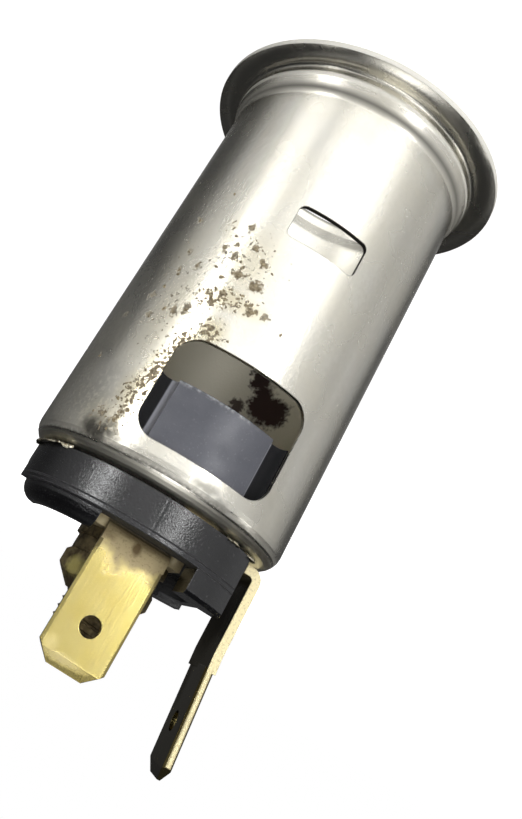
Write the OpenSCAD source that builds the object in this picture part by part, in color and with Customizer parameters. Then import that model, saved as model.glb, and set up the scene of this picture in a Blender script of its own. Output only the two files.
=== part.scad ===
// Car 12 V power socket: a drawn steel can with a flared mouth, an insulated
// centre contact and two brass blades behind it. Millimetres.
// z = 0 is the rim of the mouth, +z runs up to the blades, the axis is x = y = 0.

/* [Can] */
// Outside diameter of the can
can_d = 22.6; // [21.6:0.1:24]
// Thickness of the steel sheet
sheet_t = 0.5; // [0.4:0.05:0.6]
// Length from the rim of the mouth to the outside of the bottom
can_len = 39.15; // [38:0.05:42]
// Outside radius of the drawn corner round the bottom
bottom_round = 1.6; // [1.2:0.1:2]
// Diameter of the hole in the bottom that the insulated centre passes
bottom_hole_d = 8.8; // [8.6:0.1:9.4]

/* [Mouth] */
// Diameter of the flange round the mouth
flange_d = 28.3; // [26.6:0.1:30]
// Step outwards from the can to the shoulder behind the flange
shoulder_step = 0.6; // [0.4:0.05:0.8]
// Height above the rim at which the can starts to widen
flare_z = 3.1; // [2.9:0.1:3.6]
// Height above the rim of the corner of the shoulder
shoulder_z = 1.5; // [1.4:0.1:1.8]
// Bend radius where the can widens
flare_bend = 1.4; // [1:0.1:2]
// Bend radius over the shoulder
shoulder_bend = 0.9; // [0.7:0.1:1.2]
// Bend radius at the foot of the flange
flange_bend = 0.6; // [0.4:0.05:0.7]

/* [Windows] */
// Width of the large window, straight across
big_win_w = 11.3; // [9:0.1:12.5]
// Height of the large window
big_win_h = 8.5; // [6:0.1:8.9]
// Distance from the outside of the bottom to the middle of the large window
big_win_drop = 6.8; // [6.5:0.05:8]
// Corner radius of the large window
big_win_round = 1.8; // [0.8:0.1:2.4]
// Width of the small window, straight across
small_win_w = 6.3; // [4:0.1:8]
// Height of the small window
small_win_h = 3.15; // [2:0.05:5]
// Distance from the outside of the bottom to the middle of the small window
small_win_drop = 23.55; // [16:0.05:28]
// Corner radius of the small window
small_win_round = 0.55; // [0.3:0.05:0.9]

/* [Inner insulator] */
// Thickness of the moulded disc
disc_t = 7.25; // [6:0.05:8.5]
// Clearance round the disc in the bore of the can
disc_gap = 0.15; // [0.1:0.05:0.3]
// Depth that the face behind the window lies below the rim of the disc
face_sink = 0.35; // [0.2:0.05:0.6]
// Angle of each groove beside that face, from its middle
groove_angle = 28; // [24:0.5:30]
// Radius of the groove
groove_r = 0.75; // [0.5:0.05:0.9]
// Diameter of the recess for the head of the contact
recess_d = 9.4; // [9:0.1:12]
// Depth of that recess
recess_deep = 0.8; // [0.4:0.1:1.5]

/* [Centre contact] */
// Diameter of the shank
shank_d = 4.5; // [4:0.1:4.6]
// Diameter of the head that the plug presses on
head_d = 8.4; // [7.6:0.1:8.8]
// Thickness of the rim of the head
head_edge = 0.9; // [0.6:0.1:1.2]
// Rise of the dome over that rim
head_dome = 1.2; // [0.8:0.1:1.6]
// Length of the shank that stands out of the nut
shank_out = 2.9; // [1:0.1:3.4]
// Radial clearance of the bores that the shank passes
shank_gap = 0.15; // [0.1:0.05:0.25]

/* [Ground terminal] */
// Thickness of the sheet of the ring and its blade
ring_t = 0.75; // [0.6:0.05:0.9]
// Distance from the edge of the moulding in to the edge of the ring
ring_inset = 1.2; // [1:0.05:1.4]
// Distance that the outer face of the blade lies outside the ring
ground_out = 1.37; // [1.2:0.01:1.6]
// Inside bend radius at the foot of the blade
ground_bend = 0.35; // [0.2:0.05:0.5]
// Height above the ring at which the blade starts to lean outwards
ground_kink = 6.5; // [5.5:0.1:7.5]
// Length from there to the shoulder where the blade proper starts
ground_neck = 1.4; // [1:0.1:2.5]
// Lean of the neck and the blade, in degrees
ground_lean = 4.2; // [0:0.1:8]
// Length of the blade beyond the shoulder
ground_len = 8.5; // [7.5:0.1:9.5]
// Twist of the blade beyond the shoulder, in degrees
ground_twist = 3; // [0:0.5:6]
// Distance from the tip to the middle of the latch hole
ground_hole_drop = 4.15; // [3:0.05:4.5]

/* [Rear insulator] */
// Distance from the outside of the can in to the edge of the moulding
rear_inset = 0.97; // [0.5:0.01:1.5]
// Thickness under the positive terminal
rear_floor = 2.15; // [1.6:0.05:3]
// Height of the rim of the moulding beside the edge of the ring
rear_rim = 0.45; // [0.3:0.05:0.55]
// Clearance between that rim and the edge of the ring
rim_gap = 0.1; // [0.05:0.05:0.2]
// Height of the low rim over that floor
rear_lip = 0.4; // [0.3:0.05:0.6]
// Height of the curved wall over that floor
rear_wall_h = 1.75; // [1.6:0.05:2.2]
// Thickness of the curved wall
rear_wall_t = 1.6; // [1.5:0.05:2]
// Radius of the rounded shoulder of the curved wall
rear_round = 1.4; // [1:0.05:1.4]
// Step in from the low rim to the curved wall
rear_step = 0.53; // [0.2:0.01:0.7]
// Angle from the front at which the curved wall ends
rear_wall_end = 84; // [70:1:100]
// Edge radius where the moulding has no wall
open_round = 1.2; // [0.6:0.1:1.4]
// Height of the two lugs over the floor
lug_h = 2.35; // [2:0.05:2.6]
// Thickness of the lugs, from the edge inwards
lug_t = 3.2; // [2.4:0.1:3.4]
// Bevel along the outer edge of the lugs
lug_bevel = 0.3; // [0.2:0.05:0.5]
// Width between the lugs, where the ground blade passes
lug_apart = 9.7; // [8:0.1:10.4]
// Height of the thin wall between the lugs over the floor
web_h = 1.9; // [1.4:0.05:2.2]
// Thickness of that wall
web_t = 0.8; // [0.6:0.05:1.2]
// Room between that wall and the ground blade, for the receptacle
blade_room = 2.2; // [1.8:0.05:2.6]
// Room between the positive blade and the curved wall
slot_left = 1.35; // [1:0.05:1.8]
// Room between the positive blade and the near lug
slot_right = 0.95; // [0.7:0.05:1.4]
// Clearance round the insulating boss in the holes of the can and the ring
boss_gap = 0.2; // [0.1:0.05:0.3]

/* [Positive terminal] */
// Thickness of the plate and blade
plate_t = 0.8; // [0.7:0.05:0.9]
// Width of the plate across its shoulders
plate_w = 7.8; // [6.4:0.1:9]
// Distance of the front face of the blade from the axis
blade_y = 5; // [4.9:0.05:5.6]
// Inside bend radius at the foot of the blade
blade_bend = 0.15; // [0.1:0.05:0.3]
// Distance from the front of the blade back to the shoulders of the plate
shoulder_back = 0.5; // [0.3:0.05:0.8]
// Height of the tip of the blade over the plate
blade_len = 10.3; // [8:0.1:12]
// Lean of the blade to the front, in degrees
blade_lean = 2; // [0:0.5:3]
// Lean of the blade to the side, in degrees
blade_tilt = 0.8; // [0:0.1:2]
// Distance from the tip to the middle of the latch hole
hole_drop = 3.6; // [3:0.1:4.5]

/* [Blades] */
// Width of each blade
tab_w = 5.5; // [4.8:0.1:6]
// Bevel along the edges of a blade
tab_bevel = 0.25; // [0.1:0.05:0.25]
// Width of the cut corners at the tip
tip_cut_w = 1.3; // [0.8:0.1:1.6]
// Height of the cut corners at the tip
tip_cut_h = 1.2; // [1:0.1:2]
// Length of the bevel that thins the tip
tip_bevel = 0.9; // [0.5:0.1:1.4]
// Diameter of the latch hole
hole_d = 1.65; // [1.2:0.05:2]

/* [Washers and nut] */
// Clearance between the plain washer and the bend of the positive blade
washer_gap = 0.02; // [0.02:0.01:0.1]
// Thickness of the plain washer
washer_t = 0.8; // [0.5:0.1:1]
// Diameter of the spring washer
spring_d = 7.5; // [6.6:0.1:7.8]
// Thickness of the spring washer
spring_t = 1.25; // [0.9:0.05:1.3]
// Gap in the spring washer
spring_gap = 0.6; // [0.4:0.1:1]
// Width of the nut across its flats
nut_w = 7; // [6.5:0.1:7.6]
// Height of the nut
nut_h = 2.85; // [2.4:0.05:3.2]
// Height of the dome on the outer side of the nut
nut_dome = 1.4; // [1:0.1:1.8]

/* [Hidden] */
$fn = 96;
ARC_STEPS = 6;
STEEL = [0.82, 0.81, 0.77];
SLATE = [0.30, 0.31, 0.34];
BLACK = [0.16, 0.16, 0.18];
BRASS = [0.85, 0.76, 0.42];
TARNISH = [0.45, 0.38, 0.25];

can_r = can_d / 2;
bore_r = can_r - sheet_t;
hole_r = bottom_hole_d / 2;
shank_r = shank_d / 2;
shank_bore_r = shank_r + shank_gap;
bottom_in_z = can_len - sheet_t;
big_win_z = can_len - big_win_drop;
small_win_z = can_len - small_win_drop;
disc_z = bottom_in_z - disc_t;
disc_r = bore_r - disc_gap;
disc_chamfer = bottom_round;
ring_z = can_len;
rear_z = ring_z + ring_t;
rim_z = rear_z - rear_rim;
floor_z = rear_z + rear_floor;
lip_z = floor_z + rear_lip;
wall_z = floor_z + rear_wall_h;
lug_z = floor_z + lug_h;
rear_r = can_r - rear_inset;
ring_r = rear_r - ring_inset;
ground_x = ring_r + ground_out;
web_x = ground_x - ring_t - blade_room;
boss_r = hole_r - boss_gap;
plate_z = floor_z;
washer_z = plate_z + plate_t;
washer_r = blade_y - plate_t - blade_bend - washer_gap;
spring_z = washer_z + washer_t;
nut_z = spring_z + spring_t;
shank_end_z = nut_z + nut_h + shank_out;
head_z = disc_z + recess_deep;
cut = 1;

function unit(v) = v / norm(v);
function left_normal(a, b) = let (u = unit(b - a)) [-u.y, u.x];
function normal_in(p, i) = left_normal(p[max(i, 1) - 1], p[max(i, 1)]);
function normal_out(p, i) = let (k = min(i, len(p) - 2)) left_normal(p[k], p[k + 1]);
function shifted(p, i, d) = let (s = normal_in(p, i) + normal_out(p, i)) p[i] + s * 2 * d / (s * s);
function turn(p, i) = let (a = normal_in(p, i), b = normal_out(p, i)) atan2(cross(a, b), a * b);

// One rounded corner of a path that lies d to the left of the bend line p
function bend_points(p, bends, i, d) =
    let (a = turn(p, i), side = sign(a), r = bends[i] - side * d)
    abs(a) < 0.01 || r <= 0 ? [shifted(p, i, d)] :
    let (mid = unit(normal_in(p, i) + normal_out(p, i)),
         centre = shifted(p, i, d) + mid * side * r / cos(a / 2),
         start = atan2(-side * normal_in(p, i).y, -side * normal_in(p, i).x))
    [for (k = [0 : ARC_STEPS]) centre + r * [cos(start + a * k / ARC_STEPS), sin(start + a * k / ARC_STEPS)]];

function side_line(p, bends, d) = [for (i = [0 : len(p) - 1]) each bend_points(p, bends, i, d)];
function reversed(list) = [for (i = [len(list) - 1 : -1 : 0]) list[i]];

// Section of a sheet of thickness t that follows the bend line p, with a bend radius at each corner
module sheet_section(p, bends, t) {
    polygon(concat(side_line(p, bends, t / 2), reversed(side_line(p, bends, -t / 2))));
}

module window_outline(w, h, r) {
    square([w - 2 * r, h], center = true);
    square([w, h - 2 * r], center = true);
    for (x = [-1, 1], y = [-1, 1])
        translate([x * (w / 2 - r), y * (h / 2 - r)]) circle(r);
}

// A hole punched through the front wall of the can
module window_punch(w, h, r, z) {
    translate([0, 0, z])
        rotate([90, 0, 0])
            linear_extrude(can_r + cut) window_outline(w, h, r);
}

// A flat blade that stands on the origin: x is its width, y its thickness
module blade_tab(len, t, hole) {
    half = tab_w / 2;
    face = t / 2;
    tip_face = face - tab_bevel;
    difference() {
        intersection() {
            linear_extrude(len)
                polygon([[-half, -face + tab_bevel], [-half + tab_bevel, -face],
                         [half - tab_bevel, -face], [half, -face + tab_bevel],
                         [half, face - tab_bevel], [half - tab_bevel, face],
                         [-half + tab_bevel, face], [-half, face - tab_bevel]]);
            rotate([90, 0, 0])
                linear_extrude(2 * t, center = true)
                    polygon([[-half, 0], [half, 0], [half, len - tip_cut_h], [half - tip_cut_w, len],
                             [-half + tip_cut_w, len], [-half, len - tip_cut_h]]);
            rotate([90, 0, 90])
                linear_extrude(2 * tab_w, center = true)
                    polygon([[-face, 0], [face, 0], [face, len - tip_bevel], [tip_face, len],
                             [-tip_face, len], [-face, len - tip_bevel]]);
        }
        translate([0, 0, len - hole])
            rotate([90, 0, 0])
                cylinder(h = 2 * t, d = hole_d, center = true);
    }
}

module shell() {
    mid_r = can_r - sheet_t / 2;
    mid_bottom = can_len - sheet_t / 2;
    line = [[hole_r, mid_bottom], [mid_r, mid_bottom], [mid_r, flare_z],
            [mid_r + shoulder_step, shoulder_z], [mid_r + shoulder_step, sheet_t / 2],
            [flange_d / 2, sheet_t / 2]];
    bends = [0, bottom_round - sheet_t / 2, flare_bend, shoulder_bend, flange_bend, 0];
    color(STEEL)
        difference() {
            rotate_extrude() sheet_section(line, bends, sheet_t);
            window_punch(big_win_w, big_win_h, big_win_round, big_win_z);
            window_punch(small_win_w, small_win_h, small_win_round, small_win_z);
        }
}

module inner_insulator() {
    face_r = disc_r - face_sink;
    color(SLATE)
        difference() {
            rotate_extrude()
                polygon([[shank_bore_r, head_z], [recess_d / 2, head_z], [recess_d / 2, disc_z],
                         [disc_r, disc_z], [disc_r, bottom_in_z - disc_chamfer],
                         [disc_r - disc_chamfer, bottom_in_z], [shank_bore_r, bottom_in_z]]);
            rotate([0, 0, -90 - groove_angle])
                rotate_extrude(angle = 2 * groove_angle)
                    translate([face_r, disc_z - cut])
                        square([disc_r - face_r + cut, disc_t + 2 * cut]);
            for (side = [-1, 1])
                rotate([0, 0, -90 + side * groove_angle])
                    translate([face_r, 0, disc_z - cut])
                        cylinder(h = disc_t + 2 * cut, r = groove_r, $fn = 32);
        }
}

module centre_contact() {
    head_r = head_d / 2;
    dome_r = (head_r * head_r + head_dome * head_dome) / (2 * head_dome);
    dome_z = head_z - head_edge;
    half_angle = asin(head_r / dome_r);
    dome_steps = 10;
    end_bevel = 0.5;
    dome = [for (k = [0 : dome_steps])
        let (a = half_angle * k / dome_steps)
        [dome_r * sin(a), dome_z - head_dome + dome_r * (1 - cos(a))]];
    color(BRASS)
        rotate_extrude()
            polygon(concat(dome, [[head_r, head_z], [shank_r, head_z],
                                  [shank_r, shank_end_z - end_bevel],
                                  [shank_r - end_bevel, shank_end_z], [0, shank_end_z]]));
}

module ground_terminal() {
    mid_x = ground_x - ring_t / 2;
    mid_z = ring_z + ring_t / 2;
    kink_z = rear_z + ground_kink;
    neck_x = ground_neck * sin(ground_lean);
    neck_z = ground_neck * cos(ground_lean);
    tuck = 0.3;
    color(BRASS)
        difference() {
            union() {
                translate([0, 0, ring_z]) cylinder(h = ring_t, r = ring_r);
                rotate([90, 0, 0])
                    linear_extrude(tab_w, center = true)
                        sheet_section([[-ring_r + cut, mid_z], [-mid_x, mid_z], [-mid_x, kink_z],
                                       [-mid_x - neck_x, kink_z + neck_z]],
                                      [0, ground_bend + ring_t / 2, 0, 0], ring_t);
                translate([-mid_x - neck_x, 0, kink_z + neck_z])
                    rotate([0, -ground_lean, 0])
                        rotate([0, 0, 90 + ground_twist])
                            translate([0, 0, -tuck])
                                blade_tab(ground_len + tuck, ring_t, ground_hole_drop);
            }
            translate([0, 0, ring_z - cut]) cylinder(h = ring_t + 2 * cut, r = hole_r);
        }
}

module rear_insulator() {
    wall_r = rear_r - rear_step;
    wall_in_r = wall_r - rear_wall_t;
    round_r = wall_r - rear_round;
    round_z = wall_z - rear_round;
    open_r = rear_r - open_round;
    lug_in_r = rear_r - lug_t;
    slot_left_x = tab_w / 2 + slot_left;
    slot_right_x = tab_w / 2 + slot_right;
    over = lug_h + cut;
    lap = 2;
    wall_round = [for (k = [0 : ARC_STEPS])
        let (a = 90 * k / ARC_STEPS)
        [round_r + rear_round * cos(a), round_z + rear_round * sin(a)]];
    open_edge = [for (k = [0 : ARC_STEPS])
        let (a = 90 * k / ARC_STEPS)
        [open_r + open_round * cos(a), floor_z - open_round + open_round * sin(a)]];
    color(BLACK)
        difference() {
            union() {
                rotate_extrude()
                    polygon([[0, rear_z], [ring_r + rim_gap, rear_z], [ring_r + rim_gap, rim_z],
                             [rear_r, rim_z], [rear_r, lug_z - lug_bevel],
                             [rear_r - lug_bevel, lug_z], [0, lug_z]]);
                translate([0, 0, bottom_in_z]) cylinder(h = rear_z - bottom_in_z + cut, r = boss_r);
            }
            translate([0, 0, bottom_in_z - cut]) cylinder(h = rear_z, r = shank_bore_r);
            intersection() {
                translate([0, 0, floor_z]) cylinder(h = over, r = lug_in_r);
                translate([web_t - web_x, -rear_r, floor_z]) cube([2 * rear_r, 2 * rear_r, over]);
            }
            intersection() {
                translate([0, 0, floor_z]) cylinder(h = over, r = wall_in_r);
                translate([-slot_right_x, -rear_r, floor_z]) cube([2 * rear_r, 2 * rear_r, over]);
            }
            translate([-slot_right_x, -2 * rear_r, lip_z])
                cube([slot_right_x + slot_left_x, 2 * rear_r, over]);
            rotate([0, 0, -90])
                rotate_extrude(angle = rear_wall_end + lap)
                    polygon(concat([[rear_r + cut, lip_z], [wall_r, lip_z]], wall_round,
                                   [[wall_in_r - cut, wall_z], [wall_in_r - cut, lug_z + cut],
                                    [rear_r + cut, lug_z + cut]]));
            rotate([0, 0, rear_wall_end - 90])
                rotate_extrude(angle = 180 + asin(slot_right_x / rear_r) - rear_wall_end)
                    polygon(concat([[rear_r + cut, floor_z - open_round]], open_edge,
                                   [[wall_in_r - cut, floor_z], [wall_in_r - cut, lug_z + cut],
                                    [rear_r + cut, lug_z + cut]]));
            translate([-2 * rear_r, -lug_apart / 2, floor_z + web_h])
                cube([2 * rear_r, lug_apart, over]);
            translate([-web_x - rear_r, -2 * rear_r, rim_z - cut])
                cube([rear_r, 4 * rear_r, lug_z - rim_z + 2 * cut]);
        }
}

module positive_terminal() {
    mid_y = blade_y - plate_t / 2;
    mid_z = plate_z + plate_t / 2;
    root_z = washer_z + washer_t;
    tuck = 0.3;
    color(BRASS)
        difference() {
            union() {
                translate([0, 0, plate_z]) {
                    cylinder(h = plate_t, d = plate_w);
                    translate([-plate_w / 2, shoulder_back - blade_y, 0])
                        cube([plate_w, blade_y - shoulder_back, plate_t]);
                }
                rotate([90, 0, 90])
                    linear_extrude(tab_w, center = true)
                        sheet_section([[-blade_y / 2, mid_z], [-mid_y, mid_z], [-mid_y, root_z]],
                                      [0, blade_bend + plate_t / 2, 0], plate_t);
                translate([0, -mid_y, root_z])
                    rotate([blade_lean, blade_tilt, 0])
                        translate([0, 0, -tuck])
                            blade_tab(blade_len - washer_t + tuck, plate_t, hole_drop);
            }
            translate([0, 0, plate_z - cut]) cylinder(h = plate_t + 2 * cut, r = shank_bore_r);
        }
}

module plain_washer() {
    color(TARNISH)
        translate([0, 0, washer_z])
            difference() {
                cylinder(h = washer_t, r = washer_r);
                translate([0, 0, -cut]) cylinder(h = washer_t + 2 * cut, r = shank_bore_r);
            }
}

module spring_washer() {
    split_angle = 60;
    split_tilt = 25;
    color(TARNISH)
        translate([0, 0, spring_z])
            difference() {
                cylinder(h = spring_t, d = spring_d);
                translate([0, 0, -cut]) cylinder(h = spring_t + 2 * cut, r = shank_bore_r);
                rotate([0, 0, split_angle])
                    translate([0, 0, spring_t / 2])
                        rotate([split_tilt, 0, 0])
                            translate([0, -spring_gap / 2, -spring_d])
                                cube([spring_d, spring_gap, 2 * spring_d]);
            }
}

module nut() {
    corner_r = nut_w / sqrt(3);
    under_bevel = 0.35;
    color(TARNISH)
        translate([0, 0, nut_z])
            difference() {
                intersection() {
                    cylinder(h = nut_h, r = corner_r, $fn = 6);
                    rotate_extrude()
                        polygon([[0, 0], [corner_r - under_bevel, 0], [corner_r, under_bevel],
                                 [corner_r, nut_h - nut_dome], [shank_r + under_bevel, nut_h], [0, nut_h]]);
                }
                translate([0, 0, -cut]) cylinder(h = nut_h + 2 * cut, r = shank_bore_r);
            }
}

shell();
inner_insulator();
centre_contact();
ground_terminal();
rear_insulator();
positive_terminal();
plain_washer();
spring_washer();
nut();
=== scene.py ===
import bpy
import bmesh
import math
import random
from mathutils import Matrix, Vector, noise


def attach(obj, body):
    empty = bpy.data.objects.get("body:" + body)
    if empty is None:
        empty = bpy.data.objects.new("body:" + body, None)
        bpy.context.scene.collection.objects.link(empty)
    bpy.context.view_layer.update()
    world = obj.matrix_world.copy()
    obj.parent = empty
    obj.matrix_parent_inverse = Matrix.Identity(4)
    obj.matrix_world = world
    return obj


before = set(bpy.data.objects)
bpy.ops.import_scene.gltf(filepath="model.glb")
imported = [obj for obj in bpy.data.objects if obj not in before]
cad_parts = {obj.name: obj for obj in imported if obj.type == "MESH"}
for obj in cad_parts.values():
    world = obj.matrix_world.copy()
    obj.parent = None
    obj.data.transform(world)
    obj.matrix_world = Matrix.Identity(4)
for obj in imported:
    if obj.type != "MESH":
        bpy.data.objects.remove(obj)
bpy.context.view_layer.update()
print("frame loaded")

# same view as the photograph; the can stands mouth down and the camera is rolled over
cameraSetup = {
    "place": (0.0106004113, -0.06847449121, 0.05039444786),
    "right": (-0.83677435, -0.23683072, -0.49367995),
    "down": (-0.541853, 0.22846622, 0.80882539),
    "forward": (-0.0787655, 0.9443063, -0.31950211),
    "lens": 36.976,
    "sensor": 36,
    "shiftX": 0.11111,
    "shiftY": -0.06276,
    "nearest": 0.005,
}


def makeCamera(setup):
    camera = bpy.data.objects.new("photoCamera", bpy.data.cameras.new("photoCamera"))
    bpy.context.scene.collection.objects.link(camera)
    right, down, ahead = (Vector(setup[key]).normalized() for key in ("right", "down", "forward"))
    turn = Matrix((right, -down, -ahead)).transposed()
    camera.matrix_world = Matrix.Translation(setup["place"]) @ turn.to_4x4()
    camera.data.sensor_width = setup["sensor"]
    camera.data.lens = setup["lens"]
    camera.data.shift_x = setup["shiftX"]
    camera.data.shift_y = setup["shiftY"]
    camera.data.clip_start = setup["nearest"]
    bpy.context.scene.camera = camera


makeCamera(cameraSetup)
bpy.context.scene.view_settings.view_transform = "Standard"


# sRGB hex to linear
def rgb(hexText):
    channels = [int(hexText[i:i + 2], 16) / 255 for i in (1, 3, 5)]
    return tuple(c / 12.92 if c <= 0.04045 else ((c + 0.055) / 1.055) ** 2.4 for c in channels) + (1,)


# inputs are values, sockets, or nodes, which stand for their first output
def addNode(tree, kind, inputs=(), **settings):
    node = tree.nodes.new(kind)
    for key, value in settings.items():
        setattr(node, key, value)
    for key, value in dict(inputs).items():
        if isinstance(value, bpy.types.Node):
            value = value.outputs[0]
        if isinstance(value, bpy.types.NodeSocket):
            tree.links.new(value, node.inputs[key])
        else:
            node.inputs[key].default_value = value
    return node


studio = {
    "white": 1.0,        # what the camera sees behind the object
    "fill": 0.2,         # soft light from all sides, for everything that isn't a reflection
    "darkLow": 0.07,     # reflections away from the lamps, level and below
    "darkHigh": 0.03,    # and above
    "darkRise": 0.35,    # sine of the elevation where that is reached
    "sideNear": 0.4,     # a lamp is full up to this share of its half width
    "sideFar": 1.6,      # and gone at this one
    "lamps": (           # heading and half width, elevation, half height and soft edge in degrees, strength
        (-87, 86, -22, 38, 8, 0.80),      # broad pale wall in front
        (-91, 33, -42, 30, 6, 1.0),       # bright middle of the can
        (-31, 14, -42, 34, 8, 0.60),      # narrow stripe beside it
        (-2, 18, -42, 34, 8, 0.22),       # its dimmer neighbour
        (166, 18, -34, 36, 8, 0.30),      # far side
        (-110.6, 3.4, -12, 6, 2, 22.0),   # small window lights that glint on the mouldings
        (-35, 4.5, -11, 6, 2, 21.0),
        (-107, 6, -5, 6, 3, 0.4),         # glare on the right half of the front blade
        (100, 26, -38, 22, 6, 0.2),       # behind
        (-107, 12, 18, 6, 3, 5.0),        # on the can's rounded bottom
        (-31, 6, 22, 5, 2, 4.0),
        (-160, 7, 15, 6, 3, 4.0),
        (-90, 32, 58, 21, 5, 1.2),        # on the curl of the flange
        (-90, 12, 60, 20, 5, 1.3),
        (0, 180, 90, 30, 8, 0.16),        # overhead
        (0, 180, -90, 15, 6, 0.7),        # white table, through the open mouth
    ),
}


# the camera sees plain white; the metal mirrors the lamps, which are only here
def makeWorld(setup):
    world = bpy.data.worlds.new("softStudio")
    world.use_nodes = True
    tree = world.node_tree
    tree.nodes.clear()
    heading = addNode(tree, "ShaderNodeSeparateXYZ", {0: addNode(tree, "ShaderNodeTexCoord").outputs["Generated"]})
    around = addNode(tree, "ShaderNodeMath", {0: heading.outputs["Y"], 1: heading.outputs["X"]}, operation="ARCTAN2")
    rise = addNode(tree, "ShaderNodeMath", {0: heading.outputs["Z"]}, operation="ARCSINE")
    total = None
    for angle, half, height, halfHeight, soft, strength in setup["lamps"]:
        off = addNode(tree, "ShaderNodeMath", {0: around, 1: math.radians(angle)}, operation="SUBTRACT")
        near = addNode(tree, "ShaderNodeMath", {0: off, 1: -math.pi, 2: math.pi}, operation="WRAP")
        aside = addNode(tree, "ShaderNodeMath", {0: near}, operation="ABSOLUTE")
        wide = addNode(tree, "ShaderNodeMapRange", {
            "Value": aside, "From Min": math.radians(half * setup["sideFar"]),
            "From Max": math.radians(half * setup["sideNear"]), "To Min": 0.0, "To Max": strength},
            interpolation_type="SMOOTHERSTEP")
        level = addNode(tree, "ShaderNodeMath", {0: rise, 1: math.radians(height)}, operation="SUBTRACT")
        apart = addNode(tree, "ShaderNodeMath", {0: level}, operation="ABSOLUTE")
        tall = addNode(tree, "ShaderNodeMapRange", {
            "Value": apart, "From Min": math.radians(halfHeight + soft),
            "From Max": math.radians(halfHeight - soft)}, interpolation_type="SMOOTHSTEP")
        lamp = addNode(tree, "ShaderNodeMath", {0: wide, 1: tall}, operation="MULTIPLY")
        total = lamp if total is None else addNode(tree, "ShaderNodeMath", {0: total, 1: lamp}, operation="ADD")
    dark = addNode(tree, "ShaderNodeMapRange", {
        "Value": heading.outputs["Z"], "From Min": 0.0, "From Max": setup["darkRise"],
        "To Min": setup["darkLow"], "To Max": setup["darkHigh"]}, interpolation_type="SMOOTHSTEP")
    lit = addNode(tree, "ShaderNodeMath", {0: total, 1: dark}, operation="ADD")
    path = addNode(tree, "ShaderNodeLightPath")
    clear = addNode(tree, "ShaderNodeMath", {
        0: path.outputs["Is Camera Ray"], 1: path.outputs["Is Transmission Ray"]}, operation="MAXIMUM")
    mirrored = addNode(tree, "ShaderNodeMix", {0: path.outputs["Is Glossy Ray"], 2: setup["fill"], 3: lit})
    shown = addNode(tree, "ShaderNodeMix", {0: clear, 2: mirrored, 3: setup["white"]})
    sky = addNode(tree, "ShaderNodeBackground", {"Color": (1, 1, 1, 1), "Strength": shown})
    addNode(tree, "ShaderNodeOutputWorld", {"Surface": sky})
    world.cycles.sampling_method = "NONE"
    bpy.context.scene.world = world


makeWorld(studio)

floorSetup = {"half": 1.5, "paper": "#f4f4f2", "shown": "#bcbcbc", "glow": 0.90}


# matt white paper: white to the camera, and the object's soft shadow stays on it
def makeFloor(setup):
    half = setup["half"]
    mesh = bpy.data.meshes.new("paleFloor")
    mesh.from_pydata([(-half, -half, 0), (half, -half, 0), (half, half, 0), (-half, half, 0)], [], [(0, 1, 2, 3)])
    floor = bpy.data.objects.new("paleFloor", mesh)
    bpy.context.scene.collection.objects.link(floor)
    floor.visible_glossy = False     # the metal mirrors the studio's own light instead
    material = bpy.data.materials.new("mattWhitePaper")
    material.use_nodes = True
    tree = material.node_tree
    tree.nodes.clear()
    path = addNode(tree, "ShaderNodeLightPath")
    direct = addNode(tree, "ShaderNodeMath", {
        0: path.outputs["Is Camera Ray"], 1: path.outputs["Is Transmission Ray"]}, operation="MAXIMUM")
    seen = addNode(tree, "ShaderNodeMath", {0: direct, 1: path.outputs["Is Glossy Ray"]}, operation="MAXIMUM")
    colour = addNode(tree, "ShaderNodeMix", {0: seen, 6: rgb(setup["paper"]), 7: rgb(setup["shown"])},
                     data_type="RGBA")
    paper = addNode(tree, "ShaderNodeBsdfDiffuse", {"Color": colour.outputs[2]})
    glow = addNode(tree, "ShaderNodeMath", {0: seen, 1: setup["glow"]}, operation="MULTIPLY")
    white = addNode(tree, "ShaderNodeEmission", {"Color": (1, 1, 1, 1), "Strength": glow})
    both = addNode(tree, "ShaderNodeAddShader", {0: paper, 1: white})
    addNode(tree, "ShaderNodeOutputMaterial", {"Surface": both})
    mesh.materials.append(material)


makeFloor(floorSetup)

# name, place, what it looks at, size, watts: they light what is matt, the reflections come from the world
lampSetup = (
    ("keyLamp", (-0.10, -0.43, 0.12), (0, 0, 0.02), 0.24, 1.7),
    ("sideLamp", (0.16, -0.40, 0.10), (0, 0, 0.02), 0.20, 0.30),
    ("backLamp", (-0.04, 0.44, 0.16), (0, 0, 0.02), 0.24, 1.1),
)


def areaLamp(name, place, aim, size, watts):
    lamp = bpy.data.objects.new(name, bpy.data.lights.new(name, "AREA"))
    lamp.data.shape = "DISK"
    lamp.data.size = size
    lamp.data.energy = watts
    lamp.location = place
    lamp.rotation_euler = (Vector(aim) - Vector(place)).to_track_quat("-Z", "Y").to_euler()
    lamp.visible_glossy = False
    bpy.context.scene.collection.objects.link(lamp)


for lampRow in lampSetup:
    areaLamp(*lampRow)
print("camera, studio and floor ready")


# a material with its Principled shader; the numbers that are the same all over are set here
def newFinish(name, colour, metallic, roughness, more=()):
    material = bpy.data.materials.new(name)
    material.use_nodes = True
    tree = material.node_tree
    shader = tree.nodes["Principled BSDF"]
    shader.inputs["Base Color"].default_value = rgb(colour)
    shader.inputs["Metallic"].default_value = metallic
    shader.inputs["Roughness"].default_value = roughness
    for key, value in dict(more).items():
        shader.inputs[key].default_value = value
    return material, tree, shader


# the point in millimetres
def pointInMm(tree):
    point = addNode(tree, "ShaderNodeTexCoord").outputs["Object"]
    return addNode(tree, "ShaderNodeVectorMath", {0: point, "Scale": 1000.0}, operation="SCALE").outputs[0]


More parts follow.
